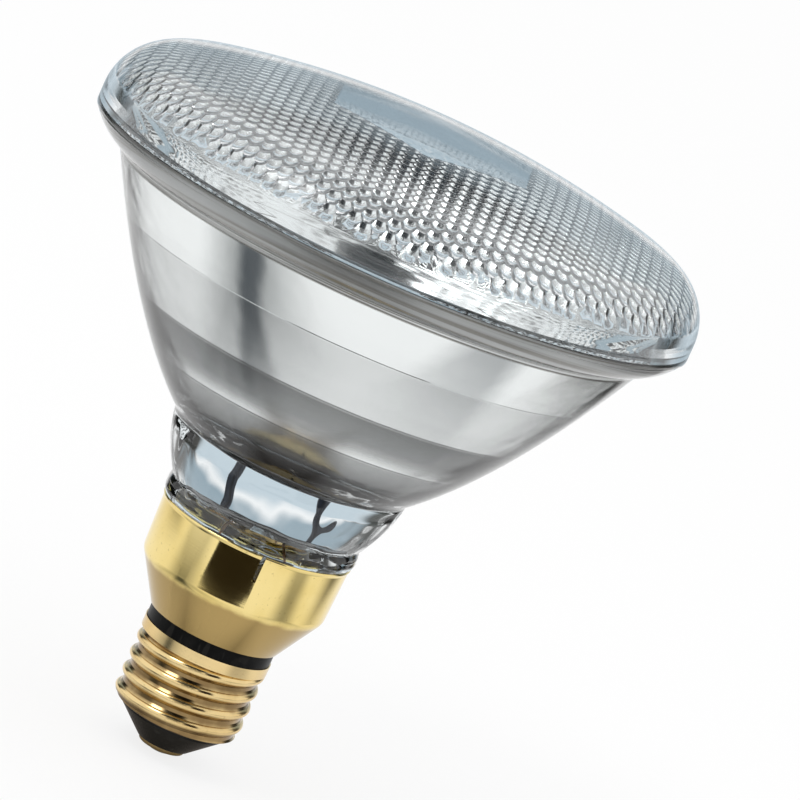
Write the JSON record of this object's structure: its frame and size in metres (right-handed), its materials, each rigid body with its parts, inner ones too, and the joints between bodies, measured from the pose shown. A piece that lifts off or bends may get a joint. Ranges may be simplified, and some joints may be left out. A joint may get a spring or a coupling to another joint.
{
  "type": "par spotlight bulb",
  "caption": "Pressed-glass reflector spotlight bulb with a ribbed lens, stepped silvered bowl, clear neck, brass skirt and Edison screw cap.",
  "frame": {"origin": "on the lamp's axis at the bottom of the centre contact's solder", "axes": "+Z along the lamp's axis from the cap to the lens; the filament lies across it, turned 40 degrees from +X towards +Y"},
  "size_m": [0.1228, 0.1228, 0.1347],
  "materials": {
    "clear_glass": "clear, glossy, slightly blue in thick places",
    "silvered_glass": "glass silvered inside, bright grey",
    "skirt_brass": "polished brass",
    "shell_brass": "polished brass, rolled",
    "black_ring": "black, slightly glossy",
    "black_insulator": "black moulded glass",
    "contact_brass": "dull brass",
    "solder": "dull tin solder",
    "tungsten": "dark grey wire",
    "nickel": "nickel rod",
    "ferrule_metal": "drawn nickel iron, dulled by the seal",
    "lead_wire": "bare copper alloy wire",
    "sleeve": "woven glass fibre"
  },
  "bodies": {
    "root": {"lens": "clear_glass", "reflector": "silvered_glass", "skirt": "skirt_brass", "skirt_ring": "black_ring", "screw_shell": "shell_brass", "base_insulator": "black_insulator", "centre_contact": "contact_brass", "centre_solder": "solder", "side_solder": "solder", "filament": "tungsten", "exhaust_tube": "clear_glass", "centre_wire": "lead_wire", "side_wire": "lead_wire", "wire_sleeve": "sleeve", "ferrule_left": "ferrule_metal", "ferrule_right": "ferrule_metal", "post_left": "nickel", "post_right": "nickel"}
  },
  "joints": []
}
